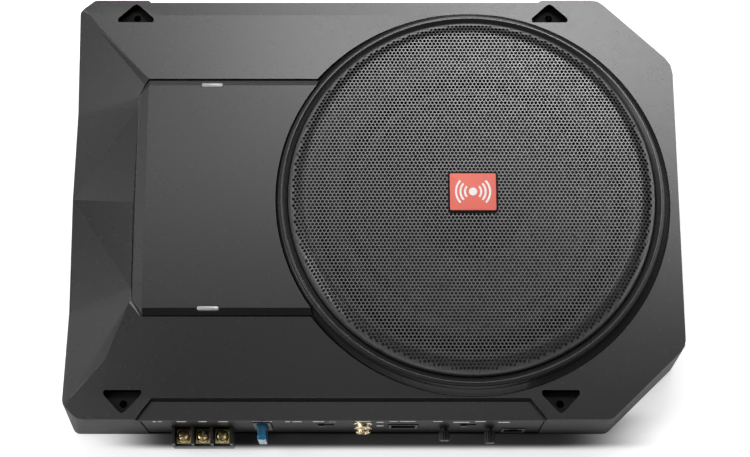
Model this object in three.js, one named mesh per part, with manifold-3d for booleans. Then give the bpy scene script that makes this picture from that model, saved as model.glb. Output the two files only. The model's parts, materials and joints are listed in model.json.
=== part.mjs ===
// Powered under-seat car subwoofer: a shallow cast enclosure with an amplifier under a raised cover
// and a 200 mm class woofer under a perforated grille. Millimetres, +Z up, +Y to the back;
// the control panel with its connectors faces -Y. The origin is under the middle, on the surface the feet stand on.
import * as THREE from 'three';
import { mergeVertices } from 'three/addons/utils/BufferGeometryUtils.js';
import Module from 'manifold-3d';

const wasm = await Module();
wasm.setup();

// ---------------------------------------------------------------- driving dimensions
const FRAME_SHIFT_Y = 4.8;    // the terminal block stands 9.6 mm proud of the front wall, so the casing sits 4.8 mm back
const HALF_W = 174.3;         // casing half width at the rim
const HALF_D = 125;           // casing half depth, front wall to back wall
const Z_RIM = 54.3;           // flat rim and corner tabs
const Z_SHOULDER = 57;        // top of the slopes round the amplifier cover
const Z_COVER_SEAT = 55;      // floor of the cover recess
const Z_LEDGE = 51.2;         // lowered ledges along the front and back edges
const Z_WALL = 4.8;           // lower edge of the casing walls
const WALL = 3;               // wall thickness
const FLARE = 2;              // side walls flare outwards by this much at the bottom
const PLATE_Z = [2.1, 4.5];   // bottom plate
const CX = 54.9, CY = 2.1;    // woofer axis
const R_COLLAR = 113.9, R_CREST = 108, R_GRILLE = 104.4, R_GRILLE_FLAT = 95.5;
const Z_GRILLE = 70;          // top of the grille
const POCKETS = [[-141.2, 115.9, 1], [103.2, 115.9, 1], [-140.6, -115.4, -1], [103.4, -115.4, -1]];
const Z_POCKET = 48.3, R_POCKET_HOLE = 2.2;
const BASE_SCREWS = [[-160, 58], [-160, -58], [163, 50], [163, -50]];
const FEET = [[-150, 92], [142, 78], [-150, -92], [142, -78]];
const TERMINALS = [-109.4, -98.4, -87.4];  // bays of the power terminal block
const PANEL_Y = -124.4;       // outer face of the control panel
const KNOB_Z = 20, CROSSOVER_X = 39.7, LEVEL_X = 65.6;
const FUSE_X = -63.6, FUSE_Z = 31;
const RCA_X = -6.9, RCA_Z = [36, 18.5];
const TURN_ON_X = -27.8, PHASE_X = 52.6, SWITCH_Z = 33;

// ---------------------------------------------------------------- finishes
const finish = (color, roughness, metalness) => new THREE.MeshStandardMaterial({ color, roughness, metalness });
const CAST = finish(0x2b2b2d, 0.55, 0.2), COVER = finish(0x303032, 0.6, 0.2), BLACK = finish(0x141414, 0.6, 0);
const MESH_STEEL = finish(0x3a3a3c, 0.5, 0.4), RED = finish(0xc8141e, 0.35, 0), BRASS = finish(0xc9a254, 0.3, 1);
const RUBBER = finish(0x1b1b1b, 0.9, 0), FERRITE = finish(0x2a2826, 0.8, 0), STEEL = finish(0xa8a8a6, 0.35, 1);
const BOARD = finish(0x1f4d2c, 0.5, 0), PAPER_CONE = finish(0x202022, 0.85, 0), ALU = finish(0xb8b8ba, 0.4, 1);
const COPPER = finish(0xb06a3a, 0.4, 1), BLUE = finish(0x1d6fa8, 0.15, 0), LENS = finish(0xd8dcdc, 0.2, 0);
const GOLD = finish(0xd8b45a, 0.25, 1), WHITE = finish(0xe6e4de, 0.4, 0), CLOTH = finish(0x8a6a3a, 0.9, 0);
const RED_PLASTIC = finish(0x9c1a18, 0.4, 0);

// ---------------------------------------------------------------- solids
// A closed three.js geometry as a solid: shared corners merged, collapsed triangles dropped, faces outwards.
function toSolid(geometry) {
  const g = geometry.clone();
  for (const name of Object.keys(g.attributes)) if (name !== 'position') g.deleteAttribute(name);
  const m = mergeVertices(g, 1e-4);
  const p = m.attributes.position.array, idx = m.index.array, tri = [];
  let volume = 0;
  for (let i = 0; i < idx.length; i += 3) {
    const [a, b, c] = [idx[i], idx[i + 1], idx[i + 2]];
    if (a === b || b === c || a === c) continue;
    tri.push(a, b, c);
    const A = new THREE.Vector3().fromArray(p, 3 * a), B = new THREE.Vector3().fromArray(p, 3 * b);
    volume += A.dot(B.cross(new THREE.Vector3().fromArray(p, 3 * c)));
  }
  if (volume < 0) for (let i = 0; i < tri.length; i += 3) [tri[i], tri[i + 1]] = [tri[i + 1], tri[i]];
  return new wasm.Manifold(new wasm.Mesh({ numProp: 3, vertProperties: new Float32Array(p), triVerts: new Uint32Array(tri) }));
}

const shapeOf = (points) => new THREE.Shape(points.map(([x, y]) => new THREE.Vector2(x, y)));

// An upright prism over a polygon.
function prism(points, z0, z1) {
  const g = new THREE.ExtrudeGeometry(shapeOf(points), { depth: z1 - z0, bevelEnabled: false });
  g.translate(0, 0, z0);
  return toSolid(g);
}

// A closed solid between two polygons with as many corners, one at each height.
function loft(lower, z0, upper, z1) {
  const n = lower.length, pos = [];
  for (const [x, y] of lower) pos.push(x, y, z0);
  for (const [x, y] of upper) pos.push(x, y, z1);
  const cap = (pts) => THREE.ShapeUtils.triangulateShape(pts.map(([x, y]) => new THREE.Vector2(x, y)), []);
  const index = [];
  for (const [a, b, c] of cap(lower)) index.push(a, c, b);
  for (const [a, b, c] of cap(upper)) index.push(n + a, n + b, n + c);
  for (let i = 0; i < n; i++) {
    const j = (i + 1) % n;
    index.push(i, j, n + j, i, n + j, n + i);
  }
  const g = new THREE.BufferGeometry();
  g.setAttribute('position', new THREE.Float32BufferAttribute(pos, 3));
  g.setIndex(index);
  return toSolid(g);
}

// A turned solid about an upright axis; the profile is [radius, z] pairs.
function turned(profile, segments, x = 0, y = 0) {
  const closed = profile[0][0] > 1e-6;
  const pts = profile.map(([r, z]) => new THREE.Vector2(r, z));
  if (closed) pts.push(pts[0].clone());
  const g = new THREE.LatheGeometry(pts, segments);
  g.rotateX(Math.PI / 2);
  g.translate(x, y, 0);
  return toSolid(g);
}

// The same about an axis along Y: the profile is [radius, y] pairs.
function turnedY(profile, segments, x, z) {
  const closed = profile[0][0] > 1e-6;
  const pts = profile.map(([r, y]) => new THREE.Vector2(r, y));
  if (closed) pts.push(pts[0].clone());
  const g = new THREE.LatheGeometry(pts, segments);
  g.translate(x, 0, z);
  return toSolid(g);
}

const box = (x0, x1, y0, y1, z0, z1) => {
  const g = new THREE.BoxGeometry(x1 - x0, y1 - y0, z1 - z0);
  g.translate((x0 + x1) / 2, (y0 + y1) / 2, (z0 + z1) / 2);
  return toSolid(g);
};
const cylinder = (r, z0, z1, x, y, seg = 16) => turned([[0, z0], [r, z0], [r, z1], [0, z1]], seg, x, y);
const cylinderY = (r, y0, y1, x, z, seg = 16) => turnedY([[0, y0], [r, y0], [r, y1], [0, y1]], seg, x, z);

// A polygon with its corners rounded.
function rounded(points, radius, steps = 3) {
  const out = [], n = points.length;
  points.forEach((p, i) => {
    const v = new THREE.Vector2(...p);
    const a = new THREE.Vector2(...points[(i + n - 1) % n]).sub(v), b = new THREE.Vector2(...points[(i + 1) % n]).sub(v);
    const r = Array.isArray(radius) ? radius[i] : radius;
    const half = Math.acos(THREE.MathUtils.clamp(a.clone().normalize().dot(b.clone().normalize()), -1, 1)) / 2;
    const cut = Math.min(r / Math.tan(half), a.length() * 0.45, b.length() * 0.45);
    const p0 = v.clone().add(a.setLength(cut)), p1 = v.clone().add(b.setLength(cut));
    for (let k = 0; k <= steps; k++) {
      const t = k / steps, u = 1 - t;
      out.push([u * u * p0.x + 2 * u * t * v.x + t * t * p1.x, u * u * p0.y + 2 * u * t * v.y + t * t * p1.y]);
    }
  });
  return out;
}

const group = new THREE.Group();
const inner = new THREE.Group();
inner.position.y = FRAME_SHIFT_Y;
group.add(inner);
function piece(name, solid, material) {
  const m = solid.getMesh();
  const n = m.vertProperties.length / m.numProp, pos = new Float32Array(3 * n);
  for (let i = 0; i < n; i++) for (let k = 0; k < 3; k++) pos[3 * i + k] = m.vertProperties[m.numProp * i + k];
  const g = new THREE.BufferGeometry();
  g.setAttribute('position', new THREE.BufferAttribute(pos, 3));
  g.setIndex(new THREE.BufferAttribute(new Uint32Array(m.triVerts), 1));
  const mesh = new THREE.Mesh(g, material);
  mesh.name = name;
  inner.add(mesh);
}

// ---------------------------------------------------------------- casing outline
// Eight sides: the left corners are clipped a little, the right corners by a long 44 degree chamfer.
function outline(grow, growFrontBack = 0) {
  const s = Math.SQRT1_2;
  const lines = [ // unit normal and distance, anticlockwise from the back
    [0, 1, HALF_D + growFrontBack],
    [-0.628, 0.778, 0.628 * 165.6 + 0.778 * 125 + grow],
    [-1, 0, HALF_W + grow],
    [-0.745, -0.667, 0.745 * 164.6 + 0.667 * 125 + grow + 2.2 * Math.max(0, grow)],
    [0, -1, HALF_D + growFrontBack],
    [0.692, -0.722, 0.692 * 131.5 + 0.722 * 125 + grow],
    [1, 0, HALF_W + grow],
    [0.689, 0.725, 0.689 * 132 + 0.725 * 125 + grow],
  ];
  const pts = lines.map((l, i) => {
    const m = lines[(i + 1) % lines.length], d = l[0] * m[1] - l[1] * m[0];
    return [(l[2] * m[1] - l[1] * m[2]) / d, (l[0] * m[2] - l[2] * m[0]) / d];
  });
  return rounded(pts, [3, 3, 7, 10, 6, 9, 14, 9], 2);
}
const Z_TALL = 66;
const flareAt = (z) => FLARE * (Z_RIM - z) / (Z_RIM - Z_WALL);

// ---------------------------------------------------------------- top surface of the casing
// Corner points of the faceted top, and the triangles between them.
const P = {
  C1: [-174.1, 119.4, 53.4], V1: [-174.5, 58.9, 42], V2: [-174.3, 3.8, 47.5], V3: [-173.9, -61.3, 40], C2: [-173.0, -116, 52],
  P1: [-137.9, 64.2, 53.83], Bt: [-138.0, 58.6, 53.6], R: [-139.3, 1.9, 50], P3: [-137.9, -50.3, 55.2], P4: [-138.7, -58.8, 55.4],
  Hc1: [-134.3, 71.2, 56.2], Hc0: [-131.9, 74.8, Z_SHOULDER], h1: [-162.3, 108.4, 54.8], h2: [-163.6, 106.9, 54.18], L1: [-168.4, 115.7, Z_RIM],
  H2: [-131.3, -67.6, Z_SHOULDER], E3: [-139.5, -77, 56.4], E4: [-150.8, -91.6, 55.6], E5: [-168.9, -112.7, Z_RIM], E6: [-168.8, -110.4, 52.6],
  k2: [-131.7, 74.3, Z_COVER_SEAT], k1: [-137.6, 63.9, Z_COVER_SEAT], kR: [-137.5, 1.9, Z_COVER_SEAT], k1b: [-137.3, -57.8, Z_COVER_SEAT], k2b: [-131.2, -67.1, Z_COVER_SEAT],
  M1: [CX, 115.7, Z_RIM], M2: [CX, 74.8, Z_SHOULDER], m2: [CX, 74.3, Z_COVER_SEAT], m3: [CX, -67.1, Z_COVER_SEAT], M3: [CX, -67.6, Z_SHOULDER], M4: [CX, -112.7, Z_RIM],
  S1: [58, 115.7, Z_RIM], S4: [58, -112.7, Z_RIM],
  a0: [-190, 122, 53.4], a1: [-190, 58.9, 42], a2: [-190, 3.8, 47.5], a3: [-190, -61.3, 40], a4: [-190, -116, 52],
  bl: [-190, 140, Z_RIM], br: [190, 140, Z_RIM], fr: [190, -140, Z_RIM], fl: [-190, -140, Z_RIM],
};
const FACES = `C1 V1 h2|h2 V1 P1|h2 P1 Hc1|V1 V2 Bt|V1 Bt P1|Bt V2 R|V2 R P3|V2 V3 P3|V3 P4 P3|V3 C2 E6|V3 E6 P4
P4 E6 E4|E6 E5 E4|E6 C2 E5|P4 E4 E3|P4 E3 H2|Hc1 h2 Hc0|h2 h1 Hc0|h2 C1 h1|C1 h1 L1
Hc1 P1 k1|P1 Bt k1|Bt R kR|Bt kR k1|R P3 k1b|R k1b kR|P3 P4 k1b|Hc1 k1 k2|Hc1 k2 Hc0|P4 H2 k1b|k1b H2 k2b
Hc0 h1 L1|Hc0 L1 M1|Hc0 M1 M2|Hc0 M2 m2|Hc0 m2 k2|H2 M3 m3|H2 m3 k2b|M3 H2 E3|M3 E3 E4|M3 E4 E5|M3 E5 M4
m2 k2 k1|m2 k1 kR|m2 kR k1b|m2 k1b k2b|m2 k2b m3|S1 M1 M2|S1 M2 m2|S1 m2 S4|S4 m2 m3|S4 m3 M3|S4 M3 M4
L1 C1 bl|C1 a0 bl|bl L1 M1|bl M1 S1|bl S1 br|S1 S4 fr|S1 fr br|E5 C2 fl|C2 a4 fl|fl fr S4|fl S4 M4|fl M4 E5
C1 V1 a1|C1 a1 a0|V1 V2 a2|V1 a2 a1|V2 V3 a3|V2 a3 a2|V3 C2 a4|V3 a4 a3`.split(/[|\n]/).map((t) => t.trim().split(' '));

// Everything above the top surface, lowered by drop: cut away from a block it leaves the faceted top.
function above(drop) {
  const names = Object.keys(P), pos = [], index = [], edges = new Map();
  for (const k of names) pos.push(P[k][0], P[k][1], P[k][2] - drop);
  for (const k of names) pos.push(P[k][0], P[k][1], 100);
  const n = names.length;
  for (const face of FACES) {
    let [a, b, c] = face.map((k) => names.indexOf(k));
    const cross = (P[names[b]][0] - P[names[a]][0]) * (P[names[c]][1] - P[names[a]][1]) - (P[names[b]][1] - P[names[a]][1]) * (P[names[c]][0] - P[names[a]][0]);
    if (cross < 0) [b, c] = [c, b];
    index.push(a, c, b, n + a, n + b, n + c);
    for (const [u, v] of [[a, b], [b, c], [c, a]]) {
      if (edges.has(`${v},${u}`)) edges.delete(`${v},${u}`);
      else edges.set(`${u},${v}`, [u, v]);
    }
  }
  for (const [u, v] of edges.values()) index.push(u, v, n + v, u, n + v, n + u);
  const g = new THREE.BufferGeometry();
  g.setAttribute('position', new THREE.Float32BufferAttribute(pos, 3));
  g.setIndex(index);
  return toSolid(g);
}

// Three-cornered mounting pocket, its point towards the nearer edge.
function pocketShape([x, y, side], grow = 0) {
  const front = side < 0, half = 10.6 + grow * 1.9, back = front ? 7 : 4.8, tipOut = front ? 7.2 : 7.6;
  const base = y - side * (back + grow), tip = y + side * (tipOut + grow * 1.6), shoulder = y - side * (back - 2.6 + grow * 0.4);
  return rounded([[x - half, base], [x + half, base], [x + half, shoulder], [x, tip], [x - half, shoulder]], [1.8, 1.8, 1.8, 2.6, 1.8], 2);
}

const ledge = (grow) => [
  loft([[-135.9 - grow, 127], [-124.8 - grow, 115.7 - grow], [85.8 + grow, 115.7 - grow], [101.2 + grow, 127]], Z_LEDGE, [[-135.9 - grow, 127], [-124.8 - grow, 115.7 - grow], [85.8 + grow, 115.7 - grow], [101.2 + grow, 127]], 60),
  loft([[-134.6 - grow, -127], [97.6 + grow, -127], [87.4 + grow, -114.6 + grow], [-125.8 - grow, -114.6 + grow]], Z_LEDGE, [[-134.6 - grow, -127], [97.6 + grow, -127], [84 + grow, -109.6 + grow], [-121.6 - grow, -109.6 + grow]], 60),
];

let hollow = loft(outline(flareAt(Z_WALL) - WALL, -WALL), Z_WALL - 1, outline(flareAt(Z_TALL) - WALL, -WALL), Z_TALL).subtract(above(WALL));
for (const l of ledge(3)) hollow = hollow.subtract(l.translate([0, 0, -WALL]));
for (const p of POCKETS) {
  hollow = hollow.subtract(prism(pocketShape(p, 2.4), 45.6, 70));
  hollow = hollow.subtract(cylinder(5, 0, 60, p[0], p[1], 12));
}
for (const [x, y] of BASE_SCREWS) hollow = hollow.subtract(cylinder(4.5, 0, 60, x, y, 10));
hollow = hollow.subtract(turned([[80, 46.5], [107, 46.5], [113, 52], [113, 70], [80, 70]], 56, CX, CY));

let shell = loft(outline(flareAt(Z_WALL)), Z_WALL, outline(flareAt(Z_TALL)), Z_TALL).subtract(above(0));
shell = shell.add(turned([[100, 50.5], [R_COLLAR + 0.4, 50.5], [R_COLLAR, 54.4], [R_COLLAR - 1, 56.2], [R_COLLAR - 2.7, 58.6], [109.9, 60.8], [109.6, 61.4], [100, 61.4]], 56, CX, CY));
for (const l of ledge(0)) shell = shell.subtract(l);
shell = shell.subtract(hollow);
for (const p of POCKETS) {
  shell = shell.subtract(prism(pocketShape(p), Z_POCKET, 70));
  shell = shell.subtract(cylinder(R_POCKET_HOLE, 0, 60, p[0], p[1], 12));
}
for (const [x, y] of BASE_SCREWS) shell = shell.subtract(cylinder(1.9, 0, 16, x, y, 8));
shell = shell.subtract(turned([[0, 40], [94.2, 40], [94.2, 50], [102.1, 50], [102.1, 57], [104.9, 57], [104.9, 70], [0, 70]], 56, CX, CY));
shell = shell.subtract(box(-131.3, 94.8, -130, -119, 0, 48.6));
piece('top_shell', shell, CAST);

// ---------------------------------------------------------------- amplifier cover
function coverOutline(inset, left, r) {
  const top = 73.4 - inset, bottom = -66.3 + inset, pts = [];
  pts.push([-131.2 - 0.05 * inset, top], [-136.7 + left, 63.6 + 1.6 * inset], [-136.4 + left, -57.6 - 1.05 * inset], [-130.8 + 0.02 * inset, bottom]);
  const a0 = Math.asin((bottom - CY) / r), a1 = Math.asin((top - CY) / r);
  for (let k = 0; k <= 24; k++) {
    const a = a0 + (a1 - a0) * k / 24;
    pts.push([CX - r * Math.cos(a), CY + r * Math.sin(a)]);
  }
  return pts;
}
let cover = loft(coverOutline(0, 0, 114.3), Z_COVER_SEAT + 0.4, coverOutline(0, 0, 113.3), 57).add(loft(coverOutline(0, 0, 113.3), 57, coverOutline(3.6, 5.2, 111.8), 59.4));
const PILLS = [[-94.6, 70.1], [-93.8, -62.8]];
const pill = ([x, y], grow, z0, z1) => prism(rounded([[x - 6.2 - grow, y - 1.25 - grow], [x + 6.2 + grow, y - 1.25 - grow], [x + 6.2 + grow, y + 1.25 + grow], [x - 6.2 - grow, y + 1.25 + grow]], 1.2 + grow, 3), z0, z1);
for (const p of PILLS) cover = cover.subtract(pill(p, 0.3, 50, 70));
piece('amp_cover', cover, COVER);
piece('power_light_lens', pill(PILLS[0], 0, 55.8, 59.3), LENS);
piece('protect_light_lens', pill(PILLS[1], 0, 55.8, 59.3), LENS);

// ---------------------------------------------------------------- grille, its trim ring and badge
piece('grille_trim_ring', turned([[104.9, 61.7], [109.5, 61.7], [109.3, 62.5], [R_CREST, 63.2], [105.6, 62.4]], 56, CX, CY), CAST);
piece('grille', turned([[0, Z_GRILLE], [R_GRILLE_FLAT, Z_GRILLE - 0.3], [100.2, 68.4], [103.2, 65.4], [R_GRILLE - 0.2, 62.6], [R_GRILLE, 57.3],
  [R_GRILLE - 1.2, 57.3], [R_GRILLE - 1.4, 62.4], [102.1, 64.8], [99.4, 67.4], [R_GRILLE_FLAT - 0.2, Z_GRILLE - 1.5], [0, Z_GRILLE - 1.2]], 56, CX, CY), MESH_STEEL);
piece('grille_badge', loft(rounded([[41.3, -10.2], [69.3, -10.2], [69.3, 13.4], [41.3, 13.4]], 1.6, 3), Z_GRILLE + 0.3, rounded([[41.9, -9.6], [68.7, -9.6], [68.7, 12.8], [41.9, 12.8]], 1.4, 3), Z_GRILLE + 1.8), RED);

// ---------------------------------------------------------------- woofer
const ring = (profile, seg) => turned(profile, seg, CX, CY);
let basket = ring([[101.7, 50.3], [101.7, 52.9], [94.2, 52.9], [92.8, 51.4], [85, 48.6], [62, 31.2], [32, 31.2], [32, 29.4], [63, 29.4], [87.5, 47.3], [93.7, 48], [93.7, 50.3]], 30);
for (let k = 0; k < 6; k++) {
  const g = new THREE.BoxGeometry(15, 44, 30);
  g.translate(74.5, 0, 40);
  g.rotateZ((k + 0.5) * Math.PI / 3);
  g.translate(CX, CY, -1.2);
  const cutter = toSolid(g).intersect(ring([[66, 30], [82.5, 30], [82.5, 56], [66, 56]], 30));
  basket = basket.subtract(cutter);
}
piece('woofer_basket', basket, BLACK);
piece('woofer_gasket', ring([[95, 53.2], [101.5, 53.2], [101.5, 54.8], [95, 54.8]], 36), RUBBER);
const roll = (r, z, from, to, steps) => Array.from({ length: steps + 1 }, (_, k) => {
  const a = THREE.MathUtils.degToRad(from + (to - from) * k / steps);
  return [78.5 + r * Math.cos(a), z + 0.86 * r * Math.sin(a)];
});
piece('surround', ring([[94, 53.2], [94, 54], ...roll(10.4, 54, 0, 180, 6), [63.2, 54], [63.2, 53.2], ...roll(9.6, 53.2, 180, 0, 6)], 28), RUBBER);
piece('cone', ring([[67.6, 52.9], [64, 52.4], [20.6, 39.8], [20.6, 38.8], [64.4, 51.4], [67.6, 51.9]], 28), PAPER_CONE);
piece('dust_cap', ring([[0, 51.2], [13, 50.2], [24, 47.2], [31.6, 43.4], [30.8, 43.3], [23.6, 46.5], [12.8, 49.4], [0, 50.4]], 28), PAPER_CONE);
piece('voice_coil', ring([[19, 19], [20.2, 19], [20.2, 31], [19.7, 31], [19.7, 38.6], [19, 38.6]], 24), COPPER);
const waves = [[25, 35.2], [30, 33], [35, 35], [40, 32.6], [45, 31.8], [51, 31.8]];
piece('spider', ring([[20.6, 35.8], ...waves.map(([r, z]) => [r, z + 0.6]), ...waves.slice().reverse().map(([r, z]) => [r, z - 0.1]), [20.6, 35.1]], 24), CLOTH);
piece('magnet_top_plate', ring([[21.3, 24.3], [49, 24.3], [49, 29.1], [21.3, 29.1]], 28), STEEL);
piece('magnet_ring', ring([[26, 12.4], [53, 12.4], [53, 24], [26, 24]], 28), FERRITE);
piece('magnet_yoke', ring([[6, 8], [48, 8], [48, 12.1], [17.8, 12.1], [17.8, 29.1], [6, 29.1]], 28), STEEL);

// ---------------------------------------------------------------- bottom plate, feet and screws
let plate = loft(outline(flareAt(PLATE_Z[0])), PLATE_Z[0], outline(flareAt(PLATE_Z[1])), PLATE_Z[1]);
for (const [x, y] of [[-146, 90], [-34, 90], [-146, -100], [-34, -100]]) plate = plate.add(cylinder(3, 3, 9.1, x, y, 8));
for (const p of POCKETS) plate = plate.subtract(cylinder(R_POCKET_HOLE, 0, 6, p[0], p[1], 12));
for (const [x, y] of BASE_SCREWS) plate = plate.subtract(cylinder(2.1, 0, 6, x, y, 10));
piece('bottom_plate', plate, BLACK);
FEET.forEach(([x, y], k) => piece(`rubber_foot_${k + 1}`, turned([[0, 0], [8.2, 0], [9, 0.8], [9, 1.8], [0, 1.8]], 16, x, y), RUBBER));
BASE_SCREWS.forEach(([x, y], k) => piece(`base_screw_${k + 1}`, turned([[0, 0.5], [2.8, 0.5], [3.5, 1.2], [3.5, 1.8], [1.6, 1.8], [1.6, 14], [0, 14.6]], 10, x, y), STEEL));

// ---------------------------------------------------------------- amplifier
piece('amp_board', box(-152, -28, -107, 96, 9.4, 11), BOARD);
piece('heat_spreader', prism([[-122, 11.4], [-104, 11.4], [-104, 14], [-119, 14], [-119, 34], [-122, 34]], 0, 116).rotate([90, 0, 0]).translate([0, 62, 0]), ALU);
piece('output_transistor_1', box(-118.6, -113.8, 14, 30, 14.4, 35), BLACK);
piece('output_transistor_2', box(-118.6, -113.8, -26, -10, 14.4, 35), BLACK);
piece('power_transformer', turned([[10, 13.5], [12, 11.4], [24, 11.4], [26.5, 14], [26.5, 27], [24, 30], [12, 30], [10, 28]], 20, -72, 50), COPPER);
piece('filter_capacitor_1', cylinder(9, 11.4, 41, -74, -4, 20), BLACK);
piece('filter_capacitor_2', cylinder(9, 11.4, 41, -74, -28, 20), BLACK);
function lead(points, r) {
  const curve = new THREE.CatmullRomCurve3(points.map((p) => new THREE.Vector3(...p)));
  const section = new THREE.Shape(Array.from({ length: 8 }, (_, k) => new THREE.Vector2(r * Math.cos(k * Math.PI / 4), r * Math.sin(k * Math.PI / 4))));
  return toSolid(new THREE.ExtrudeGeometry(section, { steps: 12, extrudePath: curve }));
}
piece('speaker_lead_red', lead([[-44, 16, 11.6], [-44, 16, 20], [-38, 15, 27], [-26, 13, 29.5], [-14, 12, 30.6]], 1.1), RED_PLASTIC);
piece('speaker_lead_black', lead([[-44, 6, 11.6], [-44, 6, 20], [-38, 6, 27], [-26, 7, 29.5], [-14, 8, 30.6]], 1.1), RUBBER);

// ---------------------------------------------------------------- control panel
let panel = box(-130.9, 94.4, PANEL_Y, PANEL_Y + 2, 4.9, 48.2);
const slot = (x0, x1, z0, z1) => { panel = panel.subtract(box(x0, x1, -130, -115, z0, z1)); };
slot(-116, -80.8, 8.6, 27.4);
slot(FUSE_X - 5.3, FUSE_X + 5.3, FUSE_Z - 12.6, FUSE_Z + 12.6);
slot(TURN_ON_X - 4.6, TURN_ON_X + 4.6, SWITCH_Z - 2, SWITCH_Z + 2);
slot(PHASE_X - 4.6, PHASE_X + 4.6, SWITCH_Z - 2, SWITCH_Z + 2);
slot(7.4, 24.6, 21.4, 34.6);
slot(72.4, 86.6, 6.9, 21);
for (const z of RCA_Z) panel = panel.subtract(cylinderY(5.6, -130, -115, RCA_X, z, 16));
for (const x of [CROSSOVER_X, LEVEL_X]) panel = panel.subtract(cylinderY(2.5, -130, -115, x, KNOB_Z, 16));
piece('control_panel', panel, BLACK);

// Power terminal block: three bays, each with a brass clamp washer and a screw.
let block = box(-115.7, -81.1, -134.6, -110, 9, 18).add(box(-115.7, -81.1, -124, -110, 15, 27));
for (const x of [-115.7, -104.7, -93.7, -82.7]) block = block.add(box(x, x + 1.6, -134.2, -120, 12, 25.6));
for (const x of TERMINALS) block = block.subtract(cylinder(1.8, 10.6, 30, x, -129.2, 12));
piece('terminal_block', block, BLACK);
TERMINALS.forEach((x, k) => {
  piece(`terminal_clamp_${k + 1}`, box(x - 4.2, x + 4.2, -133, -124.6, 18.4, 19.4).subtract(cylinder(1.8, 10, 30, x, -129.2, 12)), BRASS);
  const head = turned([[0, 11.4], [1.4, 11.4], [1.4, 19.7], [3.1, 19.7], [3.3, 20.4], [3.1, 21.6], [2.2, 22.2], [0, 22.4]], 12, x, -129.2);
  const cross = box(x - 2.2, x + 2.2, -129.6, -128.8, 21, 24).add(box(x - 0.4, x + 0.4, -131.4, -127, 21, 24));
  piece(`terminal_screw_${k + 1}`, head.subtract(cross), BRASS);
});

// Blade fuse in its holder.
let holder = box(FUSE_X - 5, FUSE_X + 5, -125.4, -110, FUSE_Z - 12.3, FUSE_Z + 12.3);
holder = holder.subtract(box(FUSE_X - 2.9, FUSE_X + 2.9, -130, -122.2, FUSE_Z - 9.9, FUSE_Z + 9.9));
for (const s of [-1, 1]) holder = holder.subtract(box(FUSE_X - 0.8, FUSE_X + 0.8, -130, -113.6, FUSE_Z + s * 5.6 - 2.9, FUSE_Z + s * 5.6 + 2.9));
piece('fuse_holder', holder, BLACK);
let fuse = box(FUSE_X - 2.5, FUSE_X + 2.5, -131.6, -122.6, FUSE_Z - 8.2, FUSE_Z + 8.2).add(box(FUSE_X - 2.5, FUSE_X + 2.5, -134, -131, FUSE_Z - 9.5, FUSE_Z + 9.5));
for (const s of [-1, 1]) fuse = fuse.add(box(FUSE_X - 0.4, FUSE_X + 0.4, -123, -114, FUSE_Z + s * 5.6 - 2.5, FUSE_Z + s * 5.6 + 2.5));
piece('blade_fuse', fuse, BLUE);

// Slide switches: a housing behind the panel and a sliding button in its window.
for (const [name, x] of [['turn_on_switch', TURN_ON_X], ['phase_switch', PHASE_X]]) {
  const body = box(x - 6.6, x + 6.6, -122, -114.5, SWITCH_Z - 3.4, SWITCH_Z + 3.4).subtract(box(x - 4.4, x + 4.4, -130, -117.5, SWITCH_Z - 1.9, SWITCH_Z + 1.9));
  piece(`${name}_housing`, body, STEEL);
  const from = x - 2.4;
  piece(`${name}_button`, box(from - 1.6, from + 1.6, -125.6, -118, SWITCH_Z - 1.5, SWITCH_Z + 1.5), BLACK);
}

// Stacked line input jacks.
for (const [k, side] of ['left', 'right'].entries()) {
  const z = RCA_Z[k];
  piece(`rca_barrel_${side}`, turnedY([[3.5, -127.1], [4.2, -126.7], [4.2, -124.8], [5.3, -124.8], [5.3, -121.9], [4.2, -121.9], [4.2, -112], [3.5, -112]], 14, RCA_X, z), GOLD);
  piece(`rca_insert_${side}`, turnedY([[1.7, -126.1], [3.2, -126.1], [3.2, -112.4], [0, -112.4], [0, -118], [1.7, -118]], 14, RCA_X, z), k ? RED_PLASTIC : WHITE);
}

// High-level input socket and the remote-control jack.
piece('high_level_socket', box(7.7, 24.3, -125, -110, 21.7, 34.3).subtract(box(9.2, 22.8, -130, -113.5, 23.2, 32.8)), BLACK);
let pins = box(9.6, 22.4, -115, -113.8, 26.6, 29.4);
for (const x of [11.4, 14.5, 17.6, 20.7]) pins = pins.add(box(x - 0.5, x + 0.5, -121.5, -114.4, 27.5, 28.5));
piece('high_level_pins', pins, GOLD);
piece('remote_jack', box(72.7, 86.3, -124.9, -110, 7.2, 20.7).subtract(box(74.3, 84.7, -130, -113.5, 8.8, 17)).subtract(box(77, 82, -130, -113.5, 16.5, 19.2)), BLACK);

// Potentiometers and their knobs.
for (const [name, x, end, ribs] of [['crossover', CROSSOVER_X, -131.6, 12], ['level', LEVEL_X, -133, 12]]) {
  piece(`${name}_potentiometer`, box(x - 5.5, x + 5.5, -122, -112, KNOB_Z - 6, KNOB_Z + 6).subtract(cylinderY(2.6, -125, -114, x, KNOB_Z, 12)), STEEL);
  const star = [];
  for (let k = 0; k < 2 * ribs; k++) {
    const a = Math.PI * k / ribs, r = k % 2 ? 3.1 : 2.8;
    star.push([r * Math.cos(a), r * Math.sin(a)]);
  }
  let knob = prism(star, 0, -126.2 - end).rotate([90, 0, 0]).translate([x, -126.2, KNOB_Z]);
  knob = knob.add(cylinderY(1.9, -127, -115, x, KNOB_Z, 12));
  knob = knob.subtract(box(x - 0.4, x + 0.4, end - 1, end + 0.6, KNOB_Z + 0.6, KNOB_Z + 4));
  piece(`${name}_knob`, knob, BLACK);
}

export default group;
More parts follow.
